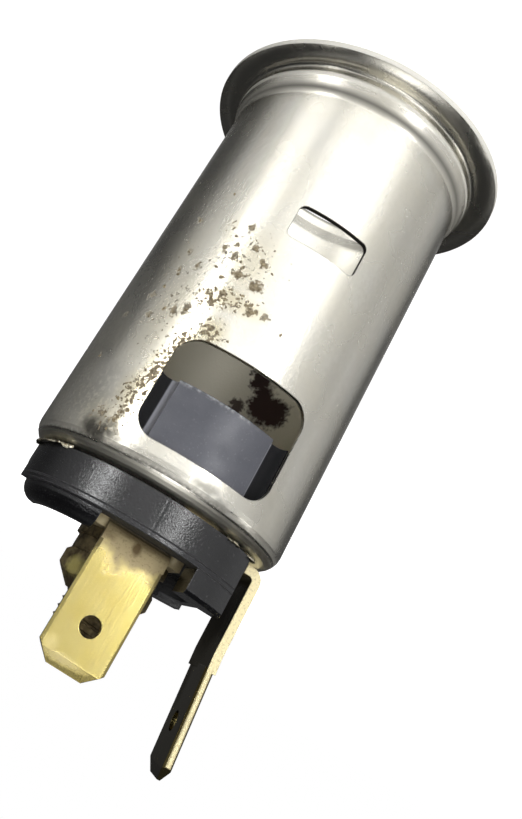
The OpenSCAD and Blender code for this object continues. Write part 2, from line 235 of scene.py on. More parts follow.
# its angle round the can's axis in degrees, and its height
def turnAndHeight(tree, mm):
    parts = addNode(tree, "ShaderNodeSeparateXYZ", {0: mm})
    turn = addNode(tree, "ShaderNodeMath", {0: parts.outputs["Y"], 1: parts.outputs["X"]}, operation="ARCTAN2")
    degrees = addNode(tree, "ShaderNodeMath", {0: turn}, operation="DEGREES")
    return degrees.outputs[0], parts.outputs["Z"]


# its distance from the axis
def fromAxis(tree, mm):
    flatPoint = addNode(tree, "ShaderNodeVectorMath", {0: mm, 1: (1, 1, 0)}, operation="MULTIPLY")
    return addNode(tree, "ShaderNodeVectorMath", {0: flatPoint}, operation="LENGTH").outputs["Value"]


# its place on an upright blade: along "X" or "Y", and its height
def placeOnBlade(tree, mm, along):
    parts = addNode(tree, "ShaderNodeSeparateXYZ", {0: mm})
    return addNode(tree, "ShaderNodeCombineXYZ", {0: parts.outputs[along], 1: parts.outputs["Z"]}).outputs[0]


# patches about size millimetres wide: 0 where the noise is under low, 1 where it is over high
def grain(tree, point, size, low, high, shift, detail=3.0, stretch=(1, 1, 1)):
    moved = addNode(tree, "ShaderNodeVectorMath", {
        0: point, 1: [s / size for s in stretch], 2: (shift, shift * 1.7, shift * 0.6)}, operation="MULTIPLY_ADD")
    cloud = addNode(tree, "ShaderNodeTexNoise", {
        "Vector": moved, "Scale": 1.0, "Detail": detail, "Roughness": 0.55})
    return addNode(tree, "ShaderNodeMapRange", {"Value": cloud, "From Min": low, "From Max": high}).outputs[0]


# the same point pushed about by up to amount, so that round spots get ragged borders
def ragged(tree, point, mm, size, amount):
    moved = addNode(tree, "ShaderNodeVectorMath", {0: mm, "Scale": 1 / size}, operation="SCALE")
    cloud = addNode(tree, "ShaderNodeTexNoise", {"Vector": moved, "Scale": 1.0, "Detail": 2.0})
    centred = addNode(tree, "ShaderNodeVectorMath", {
        0: cloud.outputs["Color"], 1: (-0.5, -0.5, -0.5)}, operation="ADD")
    push = addNode(tree, "ShaderNodeVectorMath", {0: centred, 1: amount, 2: point}, operation="MULTIPLY_ADD")
    return push.outputs[0]


# mask of oval spots: two coordinates, half width, half height, strength; scale is a mask or number to multiply by
def spots(tree, point, places, soft, scale=None):
    total = None
    for across, up, halfWidth, halfHeight, strength in places:
        off = addNode(tree, "ShaderNodeVectorMath", {
            0: point, 1: (1 / halfWidth, 1 / halfHeight, 0), 2: (-across / halfWidth, -up / halfHeight, 0)},
            operation="MULTIPLY_ADD")
        far = addNode(tree, "ShaderNodeVectorMath", {0: off}, operation="LENGTH")
        fade = addNode(tree, "ShaderNodeMapRange", {
            "Value": far.outputs["Value"], "From Min": 1 + soft, "From Max": 1 - soft,
            "To Min": 0.0, "To Max": strength})
        total = fade if total is None else addNode(tree, "ShaderNodeMath", {0: total, 1: fade}, operation="MAXIMUM")
    if scale is not None:
        total = addNode(tree, "ShaderNodeMath", {0: total, 1: scale}, operation="MULTIPLY")
    return total.outputs[0]


# 1 between low and high, with a soft border on each side; scale as above
def between(tree, value, low, high, soft, scale=None):
    up = addNode(tree, "ShaderNodeMapRange", {"Value": value, "From Min": low - soft, "From Max": low + soft})
    down = addNode(tree, "ShaderNodeMapRange", {"Value": value, "From Min": high + soft, "From Max": high - soft})
    mask = addNode(tree, "ShaderNodeMath", {0: up, 1: down}, operation="MULTIPLY")
    if scale is not None:
        mask = addNode(tree, "ShaderNodeMath", {0: mask, 1: scale}, operation="MULTIPLY")
    return mask.outputs[0]


# lays a colour over what is below it, where the mask is; strength thins it
def over(tree, below, mask, colour, strength=None):
    value = rgb(colour) if isinstance(colour, str) else colour
    if strength is not None:
        mask = addNode(tree, "ShaderNodeMath", {0: mask, 1: strength}, operation="MULTIPLY")
    return addNode(tree, "ShaderNodeMix", {0: mask, 6: below, 7: value}, data_type="RGBA").outputs[2]


# small rounded edge plus the height pattern, as one normal; depth and edge in millimetres
def surfaceNormal(tree, height, depth, edge=0):
    inputs = {"Height": height, "Distance": depth / 1000, "Strength": 1.0}
    if edge:
        inputs["Normal"] = addNode(tree, "ShaderNodeBevel", {"Radius": edge / 1000}, samples=4)
    return addNode(tree, "ShaderNodeBump", inputs).outputs[0]


# where an edge is: 1 on the outer 'width' millimetres of a corner
def edgeMask(tree, width, low=0.02, high=0.2):
    soft = addNode(tree, "ShaderNodeBevel", {"Radius": width / 1000}, samples=4)
    flat = addNode(tree, "ShaderNodeNewGeometry").outputs["Normal"]
    same = addNode(tree, "ShaderNodeVectorMath", {0: soft, 1: flat}, operation="DOT_PRODUCT")
    return addNode(tree, "ShaderNodeMapRange", {
        "Value": same.outputs["Value"], "From Min": 1 - low, "From Max": 1 - high}).outputs[0]


# lengths in millimetres, angles round the axis in degrees
# a zone is (from, to, soft border); a spot is (degrees, height, half width, half height, strength)
nickel = {
    "plate": "#dddad0", "cream": "#cfc5a3", "grey": "#aeada5", "rust": "#9c9078", "rustDark": "#6b604d",
    "grimeAndShade": "#1f1c17", "brown": "#3d2a25", "brightPart": "#dedcd4", "inner": "#cfcbbd",
    "creamPatches": 0.22, "creamNearRust": 0.8, "greyStrength": 0.12, "innerStrength": 0.85,
    "roughness": 0.26, "smoother": 0.03, "rougher": 0.06, "innerRougher": 0.25,
    "dullRoughness": 0.75, "dullMetallic": 0.15, "brushed": 0.45, "brushTurn": 0.25,
    "waveDepth": 0.008, "pitDepth": -3.0, "edgeRound": 0.06,
    # the skin lies outside a radius that grows from can to shoulder as the mouth flares, the inside within innerRadius
    "flareTop": 3.1, "flareBottom": 1.5, "canRadius": 11.05, "shoulderRadius": 11.65, "innerRadius": 10.95,
    "rolledFrom": 12.5, "rolledTo": 14.15, "rolledSlope": 1.2,   # the flange curls outwards over this radius
    "patches": {"size": 4.5, "low": 0.35, "high": 0.75, "shift": 3.0},
    "streaks": {"size": 1.6, "low": 0.35, "high": 0.7, "shift": 8.0, "stretch": (1, 1, 0.12)},
    "mottle": {"size": 0.45, "low": 0.3, "high": 0.75, "shift": 5.0, "detail": 4.0},
    "waves": {"size": 0.28, "low": 0.2, "high": 0.8, "shift": 1.0, "detail": 2.0},
    # where the plating has gone in a crowd of small flakes
    "rustField": ((-54.5, 34.0, 7, 2.2, 0.9), (-58, 31.5, 6, 2.4, 1.0), (-63, 29.0, 7, 1.6, 1.0),
                  (-68, 27.3, 6, 1.2, 1.0), (-60.5, 24.8, 7, 0.9, 0.9), (-67, 24.2, 9, 1.0, 0.9),
                  (-76, 24.3, 8, 0.8, 0.8), (-66, 20.8, 14, 3.2, 0.55), (-50, 27, 13, 5.0, 0.45),
                  (-50, 36.6, 12, 1.6, 0.6), (-38, 22, 10, 4.0, 0.3), (-57, 18.5, 9, 2, 0.4)),
    "crumbs": {"size": 0.34, "low": 0.3, "high": 0.8, "shift": 12.0, "detail": 7.0},
    "fieldShare": 0.5, "crowdFrom": 0.84, "crowdFull": 0.95, "nearFrom": 0.05, "nearFull": 0.25,
    "rustPatches": {"size": 0.3, "low": 0.4, "high": 0.6, "shift": 31.0},
    # single larger flakes
    "flakes": ((-74.1, 22.4, 3.6, 0.45, 1), (-65.7, 22.0, 2.2, 0.3, 1), (-72.7, 20.4, 1.6, 0.3, 1),
               (-66.7, 19.4, 1.5, 0.3, 1), (-60.7, 17.8, 1.2, 0.4, 0.9), (-54.8, 20.2, 1.4, 0.3, 0.9),
               (-60.3, 20.7, 1.3, 0.3, 0.9), (-49.8, 26.8, 2.0, 0.4, 0.9), (-54.3, 26.4, 1.6, 0.4, 0.9),
               (-35, 25.8, 2.0, 0.3, 0.7), (-39.8, 27.6, 1.6, 0.3, 0.7), (-26, 27.8, 1.5, 0.3, 0.6),
               (-40.8, 23.1, 1.5, 0.3, 0.6), (-48.3, 22.5, 1.6, 0.3, 0.7), (-40.1, 21.3, 1.3, 0.3, 0.6),
               (-46.8, 36.3, 1.8, 0.3, 0.8), (-54.1, 35.8, 1.8, 0.3, 0.8), (-26.3, 31.9, 1.4, 0.3, 0.6),
               (-83.4, 24.3, 1.5, 0.25, 0.8), (-35.1, 18.0, 1.5, 0.3, 0.6), (-77.4, 24.4, 2.2, 0.35, 1)),
    # how spots get ragged: size of the raggedness, and its reach in degrees and millimetres
    "flakeRagged": (0.35, (6.0, 1.2, 0)), "sideRagged": (1.5, (8.0, 3.0, 0)), "smudgeRagged": (0.8, (5.0, 1.0, 0)),
    "stainRagged": (1.2, (9.0, 2.0, 0)), "stainFrayed": (0.3, (5.0, 1.0, 0)),
    "dirtAndShadeGrain": {"size": 0.35, "low": 0.22, "high": 0.52, "shift": 20.0, "detail": 5.0},
    # dirt with painted shade round the bottom, dirt on the side, and a painted line of shade behind the shoulder
    "bottomBand": (38.3, 39.3, 0.35), "bottomTurn": (-104, -14, 14.0), "bottomLeast": 0.5, "bottomMost": 1.3,
    "dirtySide": ((-30, 35.5, 17, 3.0, 0.55), (-14, 30, 12, 6.0, 0.3), (-50, 37.6, 8, 0.7, 0.8)),
    "shadeLine": (2.3, 2.95, 0.3), "shadeStrength": 0.75,
    "smudges": ((-44.8, 37.6, 4, 0.8, 0.9), (-50, 37.9, 4, 0.6, 0.8), (-96, 37.6, 5, 0.5, 0.5),
                (-104, 38.1, 4, 0.4, 0.5), (-117, 38.6, 5, 0.35, 0.6)),
    "innerZone": (14.0, 40.0, 4.0),
    "innerStain": ((117, 20.8, 5.5, 1.2, 1.0), (123, 22.8, 6, 1.9, 1.0), (132, 23.6, 9, 1.6, 1.0),
                   (112, 24.4, 4, 0.9, 0.9)),
    # where the windows' edges get painted shade
    "smallWindow": (13.5, 17.7, 0.1), "punchedEdge": (10.84, 11.285, 0.01),    # height, distance from the axis
    "windows": (12.5, 37.8, 0.2), "cornerWidth": 0.14,
    # the ridge and the flange's edge carry a painted highlight
    "ridge": (1.25, 1.6, 0.12), "ridgeStrength": 0.75, "paintedHighlight": (14.12, 15.0, 0.02),
}


# satin nickel plate on drawn steel: a soft warm grey mirror with a faint waviness, pitted and rusty at the window
def satinNickelPlate(setup):
    material, tree, shader = newFinish("satinNickelPlate", setup["plate"], 1.0, setup["roughness"], {
        "Anisotropic": setup["brushed"], "Anisotropic Rotation": setup["brushTurn"]})
    mm = pointInMm(tree)
    turn, height = turnAndHeight(tree, mm)
    away = fromAxis(tree, mm)
    unrolled = addNode(tree, "ShaderNodeCombineXYZ", {0: turn, 1: height, 2: away}).outputs[0]
    across = addNode(tree, "ShaderNodeVectorMath", {0: (0, 0, 1), 1: mm}, operation="CROSS_PRODUCT")
    tangent = addNode(tree, "ShaderNodeVectorMath", {0: across}, operation="NORMALIZE")
    skinRadius = addNode(tree, "ShaderNodeMapRange", {
        "Value": height, "From Min": setup["flareTop"], "From Max": setup["flareBottom"],
        "To Min": setup["canRadius"], "To Max": setup["shoulderRadius"]})
    outside = addNode(tree, "ShaderNodeMath", {0: away, 1: skinRadius}, operation="GREATER_THAN")
    inside = addNode(tree, "ShaderNodeMath", {0: away, 1: setup["innerRadius"]}, operation="LESS_THAN")
    patches = grain(tree, mm, **setup["patches"])

    # rust: flakes come through where the noise and the field add up
    field = spots(tree, unrolled, setup["rustField"], soft=0.6)
    crumbs = grain(tree, mm, **setup["crumbs"])
    crowd = addNode(tree, "ShaderNodeMath", {0: field, 1: setup["fieldShare"], 2: crumbs}, operation="MULTIPLY_ADD")
    crowd = addNode(tree, "ShaderNodeMapRange", {
        "Value": crowd, "From Min": setup["crowdFrom"], "From Max": setup["crowdFull"]})
    near = addNode(tree, "ShaderNodeMapRange", {
        "Value": field, "From Min": setup["nearFrom"], "From Max": setup["nearFull"]})
    crowd = addNode(tree, "ShaderNodeMath", {0: crowd, 1: near}, operation="MULTIPLY")
    single = spots(tree, ragged(tree, unrolled, mm, *setup["flakeRagged"]), setup["flakes"], soft=0.2)
    rust = addNode(tree, "ShaderNodeMath", {0: crowd, 1: single}, operation="MAXIMUM")
    rust = addNode(tree, "ShaderNodeMath", {0: rust, 1: outside}, operation="MULTIPLY")

    # dirt with painted shade round the bottom, where the can meets the moulding, dirt on the left side, and a painted
    # line of shade behind the shoulder
    bottomStrength = addNode(tree, "ShaderNodeMapRange", {
        "Value": between(tree, turn, *setup["bottomTurn"]), "To Min": setup["bottomLeast"], "To Max": setup["bottomMost"]})
    bottomBand = between(tree, height, *setup["bottomBand"], scale=bottomStrength)
    lowerSide = spots(tree, ragged(tree, unrolled, mm, *setup["sideRagged"]), setup["dirtySide"], soft=0.6)
    # painted shade: a dark line behind the shoulder
    shadeLine = between(tree, height, *setup["shadeLine"], scale=setup["shadeStrength"])
    dirtAndShadeGrain = grain(tree, mm, **setup["dirtAndShadeGrain"])
    darkening = addNode(tree, "ShaderNodeMath", {0: bottomBand, 1: lowerSide}, operation="MAXIMUM")
    darkening = addNode(tree, "ShaderNodeMath", {0: darkening, 1: dirtAndShadeGrain}, operation="MULTIPLY")
    darkening = addNode(tree, "ShaderNodeMath", {0: darkening, 1: shadeLine}, operation="MAXIMUM")
    darkening = addNode(tree, "ShaderNodeMath", {0: darkening, 1: outside}, operation="MULTIPLY")
    smudge = spots(tree, ragged(tree, unrolled, mm, *setup["smudgeRagged"]), setup["smudges"], soft=0.5, scale=outside)

    # the stained inner wall, seen through the windows
    frayed = ragged(tree, ragged(tree, unrolled, mm, *setup["stainRagged"]), mm, *setup["stainFrayed"])
    stain = spots(tree, frayed, setup["innerStain"], soft=0.2, scale=inside)
    deep = between(tree, height, *setup["innerZone"], scale=inside)
    deep = addNode(tree, "ShaderNodeMath", {0: deep, 1: setup["innerStrength"]}, operation="MULTIPLY")

    # painted shade: both windows' corners and the small one's punched edges are painted dark
    edgeShade = between(tree, away, *setup["punchedEdge"], scale=between(tree, height, *setup["smallWindow"]))
    cornerShade = addNode(tree, "ShaderNodeMath", {
        0: edgeMask(tree, setup["cornerWidth"]), 1: between(tree, height, *setup["windows"])}, operation="MULTIPLY")
    cornerShade = addNode(tree, "ShaderNodeMath", {0: cornerShade, 1: outside}, operation="MULTIPLY")
    edgeShade = addNode(tree, "ShaderNodeMath", {0: edgeShade, 1: cornerShade}, operation="MAXIMUM")
    # painted highlight: the flange's own edge and the ridge at its foot are painted bright
    ridge = between(tree, height, *setup["ridge"], scale=outside)
    ridge = addNode(tree, "ShaderNodeMath", {0: ridge, 1: setup["ridgeStrength"]}, operation="MULTIPLY")
    edge = between(tree, away, *setup["paintedHighlight"])
    paintedHighlight = addNode(tree, "ShaderNodeMath", {0: ridge, 1: edge}, operation="MAXIMUM")

    creamy = addNode(tree, "ShaderNodeMath", {0: patches, 1: setup["creamPatches"]}, operation="MULTIPLY")
    nearRust = addNode(tree, "ShaderNodeMath", {0: field, 1: setup["creamNearRust"]}, operation="MULTIPLY")
    creamy = addNode(tree, "ShaderNodeMath", {0: creamy, 1: nearRust}, operation="MAXIMUM")
    colour = over(tree, rgb(setup["plate"]), creamy, setup["cream"])
    for pattern in ("streaks", "mottle"):
        colour = over(tree, colour, grain(tree, mm, **setup[pattern]), setup["grey"], setup["greyStrength"])
    rustTone = over(tree, rgb(setup["rust"]), grain(tree, mm, **setup["rustPatches"]), setup["rustDark"])
    for mask, tone in ((deep, setup["inner"]), (darkening, setup["grimeAndShade"]), (smudge, setup["grimeAndShade"]),
                       (stain, setup["brown"]), (rust, rustTone), (edgeShade, setup["grimeAndShade"]), (paintedHighlight, setup["brightPart"])):
        colour = over(tree, colour, mask, tone)

    dull = rust
    for mask in (stain, smudge, darkening, edgeShade, paintedHighlight):
        dull = addNode(tree, "ShaderNodeMath", {0: dull, 1: mask}, operation="MAXIMUM")
    metal = addNode(tree, "ShaderNodeMapRange", {"Value": dull, "To Min": 1.0, "To Max": setup["dullMetallic"]})
    base = addNode(tree, "ShaderNodeMapRange", {
        "Value": patches, "To Min": setup["roughness"] - setup["smoother"],
        "To Max": setup["roughness"] + setup["rougher"]})
    rough = addNode(tree, "ShaderNodeMath", {0: deep, 1: setup["innerRougher"], 2: base}, operation="MULTIPLY_ADD")
    rough = addNode(tree, "ShaderNodeMix", {0: dull, 2: rough, 3: setup["dullRoughness"]})
    waves = grain(tree, mm, **setup["waves"])
    pits = addNode(tree, "ShaderNodeMath", {0: rust, 1: setup["pitDepth"], 2: waves}, operation="MULTIPLY_ADD")
    skin = surfaceNormal(tree, pits, setup["waveDepth"], setup["edgeRound"])
    # the flange's edge curls outwards: a parabola in the height, drawn as bump
    beyond = addNode(tree, "ShaderNodeMapRange", {
        "Value": away, "From Min": setup["rolledFrom"], "From Max": setup["rolledTo"]})
    curl = addNode(tree, "ShaderNodeMath", {0: beyond, 1: 2.0}, operation="POWER")
    curlDepth = (setup["rolledTo"] - setup["rolledFrom"]) * setup["rolledSlope"] / 2
    curled = addNode(tree, "ShaderNodeBump", {
        "Height": curl, "Distance": curlDepth / 1000, "Strength": 1.0, "Normal": skin}, invert=True)
    tree.links.new(tangent.outputs[0], shader.inputs["Tangent"])
    tree.links.new(colour, shader.inputs["Base Color"])
    tree.links.new(metal.outputs[0], shader.inputs["Metallic"])
    tree.links.new(rough.outputs[0], shader.inputs["Roughness"])
    tree.links.new(curled.outputs[0], shader.inputs["Normal"])
    return material


slate = {
    "body": "#46474e", "pale": "#6c6d73", "dark": "#303137", "groove": "#0e0e10", "paintedGrooveLight": "#8f9097",
    "chip": "#a9aaad", "cloudStrength": 0.4, "speckStrength": 0.35, "chipStrength": 0.8,
    "ior": 1.55, "roughness": 0.4, "smoothest": 0.34, "roughest": 0.5, "grooveRoughness": 0.95,
    "skinDepth": 0.012, "edgeRound": 0.12,
    "clouds": {"size": 1.8, "low": 0.35, "high": 0.7, "shift": 2.0, "detail": 4.0},
    "specks": {"size": 0.22, "low": 0.62, "high": 0.72, "shift": 9.0},
    "chips": {"size": 0.4, "low": 0.45, "high": 0.65, "shift": 14.0},
    "skin": {"size": 0.2, "low": 0.2, "high": 0.8, "shift": 4.0},
    "rim": (31.25, 31.6, 0.15), "rimTurn": (-101, -66, 6.0),      # the chipped part of the rim
    "face": (-117.6, -61.6, 0.7), "smoothFace": (-115.1, -64.6, 0.5),
    # painted shade and painted light in the grooves beside the face
    "grooveLightRight": (-66.1, -61.6, 0.3), "grooveLightLeft": (-117.6, -113.9, 0.3),
}


# slate grey moulded phenolic: matt with a faint cloudiness and small scuffs, chipped along its rim
def slatePhenolic(setup):
    material, tree, shader = newFinish("slatePhenolic", setup["body"], 0.0, setup["roughness"], {"IOR": setup["ior"]})
    mm = pointInMm(tree)
    turn, height = turnAndHeight(tree, mm)
    clouds = grain(tree, mm, **setup["clouds"])
    colour = over(tree, rgb(setup["body"]), clouds, setup["dark"], setup["cloudStrength"])
    colour = over(tree, colour, grain(tree, mm, **setup["specks"]), setup["pale"], setup["speckStrength"])
    rim = between(tree, height, *setup["rim"], scale=between(tree, turn, *setup["rimTurn"]))
    chipped = addNode(tree, "ShaderNodeMath", {0: rim, 1: grain(tree, mm, **setup["chips"])}, operation="MULTIPLY")
    colour = over(tree, colour, chipped, setup["chip"], setup["chipStrength"])
    # painted shade and light: the grooves beside the middle face are painted near black towards the window's edges,
    # and painted lighter next to the face
    colour = over(tree, rgb(setup["groove"]), between(tree, turn, *setup["face"]), colour)
    paintedGrooveLight = addNode(tree, "ShaderNodeMath", {
        0: between(tree, turn, *setup["grooveLightRight"]), 1: between(tree, turn, *setup["grooveLightLeft"])},
        operation="MAXIMUM")
    colour = over(tree, colour, paintedGrooveLight, setup["paintedGrooveLight"])
    rough = addNode(tree, "ShaderNodeMapRange", {
        "Value": clouds, "To Min": setup["smoothest"], "To Max": setup["roughest"]})
    rough = addNode(tree, "ShaderNodeMix", {
        0: between(tree, turn, *setup["smoothFace"]), 2: setup["grooveRoughness"], 3: rough})
    skin = surfaceNormal(tree, grain(tree, mm, **setup["skin"]), setup["skinDepth"], setup["edgeRound"])
    tree.links.new(colour, shader.inputs["Base Color"])
    tree.links.new(rough.outputs[0], shader.inputs["Roughness"])
    tree.links.new(skin, shader.inputs["Normal"])
    return material


moulding = {
    "body": "#0b0b0d", "wearAndHighlight": "#4c4d51", "dust": "#6b6b69", "wornStrength": 0.6, "dustStrength": 0.25,
    "ior": 1.6, "roughness": 0.18, "smoothest": 0.10, "roughest": 0.20, "levelRoughness": 0.8,
    "skinDepth": 0.013, "seamDepth": -2.0, "edgeRound": 0.1, "wornWidth": 0.12,
    "wornPatches": {"size": 0.5, "low": 0.42, "high": 0.62, "shift": 6.0},
    "specks": {"size": 0.2, "low": 0.66, "high": 0.74, "shift": 17.0, "detail": 2.0},
    "glossPatches": {"size": 0.9, "low": 0.3, "high": 0.7, "shift": 2.0},
    "skin": {"size": 0.13, "low": 0.25, "high": 0.75, "shift": 4.0, "detail": 2.0},
    "lipHeight": (42.38, 42.52, 0.02), "floorHeight": (41.98, 42.12, 0.02),
    "seam": (-87.5, -86.5, 0.3),
}


# black moulded phenolic: slightly shiny grainy skin that glints in specks, rubbed grey along its edges, which is
# partly a painted highlight
def blackPhenolic(setup):
    material, tree, shader = newFinish("blackPhenolic", setup["body"], 0.0, setup["roughness"], {"IOR": setup["ior"]})
    mm = pointInMm(tree)
    turn, height = turnAndHeight(tree, mm)
    # the grey on the edges is wear, and a painted highlight where the edges glint
    brightPart = addNode(tree, "ShaderNodeMath", {
        0: edgeMask(tree, setup["wornWidth"]), 1: grain(tree, mm, **setup["wornPatches"])}, operation="MULTIPLY")
    colour = over(tree, rgb(setup["body"]), grain(tree, mm, **setup["specks"]), setup["dust"], setup["dustStrength"])
    colour = over(tree, colour, brightPart, setup["wearAndHighlight"], setup["wornStrength"])
    rough = addNode(tree, "ShaderNodeMapRange", {
        "Value": grain(tree, mm, **setup["glossPatches"]), "To Min": setup["smoothest"], "To Max": setup["roughest"]})
    # its two level faces, the low rim and the floor, are matt, so that they don't mirror the brass
    level = addNode(tree, "ShaderNodeMath", {
        0: between(tree, height, *setup["lipHeight"]), 1: between(tree, height, *setup["floorHeight"])},
        operation="MAXIMUM")
    rough = addNode(tree, "ShaderNodeMix", {0: level, 2: rough, 3: setup["levelRoughness"]})
    seam = between(tree, turn, *setup["seam"])
    relief = addNode(tree, "ShaderNodeMath", {
        0: seam, 1: setup["seamDepth"], 2: grain(tree, mm, **setup["skin"])}, operation="MULTIPLY_ADD")
    skin = surfaceNormal(tree, relief, setup["skinDepth"], setup["edgeRound"])
    tree.links.new(colour, shader.inputs["Base Color"])
    tree.links.new(rough.outputs[0], shader.inputs["Roughness"])
    tree.links.new(skin, shader.inputs["Normal"])
    return material


brass = {
    "plain": "#c6b56c", "pale": "#d3c68b", "brown": "#a19374", "dark": "#5f4f36", "edge": "#e2d7ae",
    "smear": "#aca182", "shadePaint": "#17140f", "shaded": "#3d3622",
    "paleStrength": 0.35, "lineStrength": 0.2, "rootStrength": 0.9, "speckStrength": 0.45,
    "edgeStrength": 0.8, "shadedStrength": 0.9, "footStrength": 0.85,
    "roughness": 0.17, "dullRoughness": 0.55, "rootMatt": 0.5, "lineDepth": 0.0015, "edgeRound": 0.08,
    "clouds": {"size": 1.6, "low": 0.3, "high": 0.7, "shift": 3.0},
    "lines": {"size": 0.16, "low": 0.45, "high": 0.7, "shift": 5.0, "stretch": (1, 1, 0.06)},
    "speckles": {"size": 0.17, "low": 0.52, "high": 0.7, "shift": 13.0, "detail": 4.0},
    "stainRagged": (0.7, (0.7, 0.7, 0)), "smearRagged": (0.5, (0.6, 0.4, 0)),
    # the ring's painted shade leaves out the place where it is lit
    "ring": (39.0, 39.93, 0.02), "ringLit": (-118, -97, 2.0), "aboveRing": (40.0, 60.0, 0.02),
    "foot": (41.2, 42.25, 0.1), "footAcross": (-2.75, 2.9, 0.1),     # the front blade's shaded foot
    "tab": (-14.0, -8.9, 0.05),                                      # x of the ground blade and its bend
}
groundBlade = {
    "name": "stampedBrassGround", "along": "Y", "rootTop": 41.0, "rootSoft": 2.0,
    "stains": ((-2.6, 52.0, 0.3, 0.8, 0.5), (1.0, 44.0, 2.5, 3.0, 0.75), (2.0, 49.0, 1.0, 2.0, 0.5)),
    "smears": (), "sheared": (-2.62, -2.7),
}
positiveBlade = {
    "name": "stampedBrassPositive", "along": "X", "rootTop": 44.6, "rootSoft": 1.7,
    "stains": ((-0.1, 43.0, 0.35, 0.55, 0.95), (2.5, 43.1, 0.8, 0.4, 0.5), (0.1, 42.4, 2.8, 0.35, 0.6)),
    "smears": ((0.7, 52.4, 1.5, 0.3, 0.42), (2.1, 51.8, 0.5, 0.5, 0.25), (-3.15, 42.3, 0.3, 0.45, 1.0),
               (3.2, 42.6, 0.3, 0.4, 0.8)), "sheared": (),
}


# stamped brass: satin yellow sheet with rolled scratches along it, tarnished brown towards its root
def stampedBrass(setup, blade):
    material, tree, shader = newFinish(blade["name"], setup["plain"], 1.0, setup["roughness"])
    mm = pointInMm(tree)
    turn, height = turnAndHeight(tree, mm)
    parts = addNode(tree, "ShaderNodeSeparateXYZ", {0: mm})
    onBlade = placeOnBlade(tree, mm, blade["along"])
    clouds = grain(tree, mm, **setup["clouds"])
    lines = grain(tree, mm, **setup["lines"])
    speckles = grain(tree, mm, **setup["speckles"])
    colour = over(tree, rgb(setup["plain"]), clouds, setup["pale"], setup["paleStrength"])
    colour = over(tree, colour, lines, setup["brown"], setup["lineStrength"])
    # the tarnish fades out upwards along a ragged line
    lift = addNode(tree, "ShaderNodeMath", {0: clouds, 1: blade["rootSoft"], 2: height}, operation="MULTIPLY_ADD")
    root = addNode(tree, "ShaderNodeMapRange", {
        "Value": lift, "From Min": blade["rootTop"] + blade["rootSoft"], "From Max": blade["rootTop"]})
    colour = over(tree, colour, root, setup["brown"], setup["rootStrength"])
    specked = addNode(tree, "ShaderNodeMath", {0: speckles, 1: root}, operation="MULTIPLY")
    colour = over(tree, colour, specked, setup["dark"], setup["speckStrength"])
    stains = spots(tree, ragged(tree, onBlade, mm, *setup["stainRagged"]), blade["stains"], soft=0.45)
    colour = over(tree, colour, stains, setup["dark"])
    if blade["smears"]:
        smear = spots(tree, ragged(tree, onBlade, mm, *setup["smearRagged"]), blade["smears"], soft=0.6)
        colour = over(tree, colour, smear, setup["smear"])
    # painted shade: the ring all round but for the place where it is lit, and the front blade's foot
    brightPart = between(tree, turn, *setup["ringLit"])
    shadeMask = addNode(tree, "ShaderNodeMath", {0: 1.0, 1: brightPart}, operation="SUBTRACT")
    shadeMask = addNode(tree, "ShaderNodeMath", {0: shadeMask, 1: between(tree, height, *setup["ring"])}, operation="MULTIPLY")
    foot = between(tree, height, *setup["foot"], scale=between(tree, parts.outputs["X"], *setup["footAcross"]))
    foot = addNode(tree, "ShaderNodeMath", {0: foot, 1: setup["footStrength"]}, operation="MULTIPLY")
    shadeMask = addNode(tree, "ShaderNodeMath", {0: shadeMask, 1: foot}, operation="MAXIMUM")
    tab = between(tree, parts.outputs["X"], *setup["tab"])
    shadeMask = addNode(tree, "ShaderNodeMath", {0: shadeMask, 1: tab}, operation="SUBTRACT", use_clamp=True)
    colour = over(tree, colour, shadeMask, setup["shadePaint"])
    matt = addNode(tree, "ShaderNodeMath", {0: root, 1: setup["rootMatt"]}, operation="MULTIPLY")
    matt = addNode(tree, "ShaderNodeMath", {0: matt, 1: shadeMask}, operation="MAXIMUM")
    # the ground blade's sheared edge is pale and matt, the rest of it is painted dark as shade
    if blade["sheared"]:
        nearEdge = addNode(tree, "ShaderNodeMapRange", {
            "Value": parts.outputs["Y"], "From Min": blade["sheared"][0], "From Max": blade["sheared"][1],
            "To Max": setup["edgeStrength"]})
        upright = addNode(tree, "ShaderNodeMath", {
            0: between(tree, height, *setup["aboveRing"]), 1: tab}, operation="MAXIMUM")
        nearEdge = addNode(tree, "ShaderNodeMath", {0: nearEdge, 1: upright}, operation="MULTIPLY")
        inner = addNode(tree, "ShaderNodeMath", {0: upright, 1: nearEdge}, operation="SUBTRACT", use_clamp=True)
        colour = over(tree, colour, inner, setup["shaded"], setup["shadedStrength"])
        colour = over(tree, colour, nearEdge, setup["edge"])
        colour = over(tree, colour, speckles, setup["brown"], nearEdge)
        matt = addNode(tree, "ShaderNodeMath", {0: matt, 1: nearEdge}, operation="MAXIMUM")
    if blade["smears"]:
        matt = addNode(tree, "ShaderNodeMath", {0: matt, 1: smear}, operation="MAXIMUM")
    metal = addNode(tree, "ShaderNodeMapRange", {"Value": matt, "To Min": 1.0, "To Max": 0.0})
    dull = addNode(tree, "ShaderNodeMath", {0: root, 1: stains}, operation="MAXIMUM")
    dull = addNode(tree, "ShaderNodeMath", {0: dull, 1: matt}, operation="MAXIMUM")
    rough = addNode(tree, "ShaderNodeMapRange", {
        "Value": dull, "To Min": setup["roughness"], "To Max": setup["dullRoughness"]})
    tree.links.new(colour, shader.inputs["Base Color"])
    tree.links.new(metal.outputs[0], shader.inputs["Metallic"])
    tree.links.new(rough.outputs[0], shader.inputs["Roughness"])
    tree.links.new(surfaceNormal(tree, lines, setup["lineDepth"], setup["edgeRound"]), shader.inputs["Normal"])
    return material


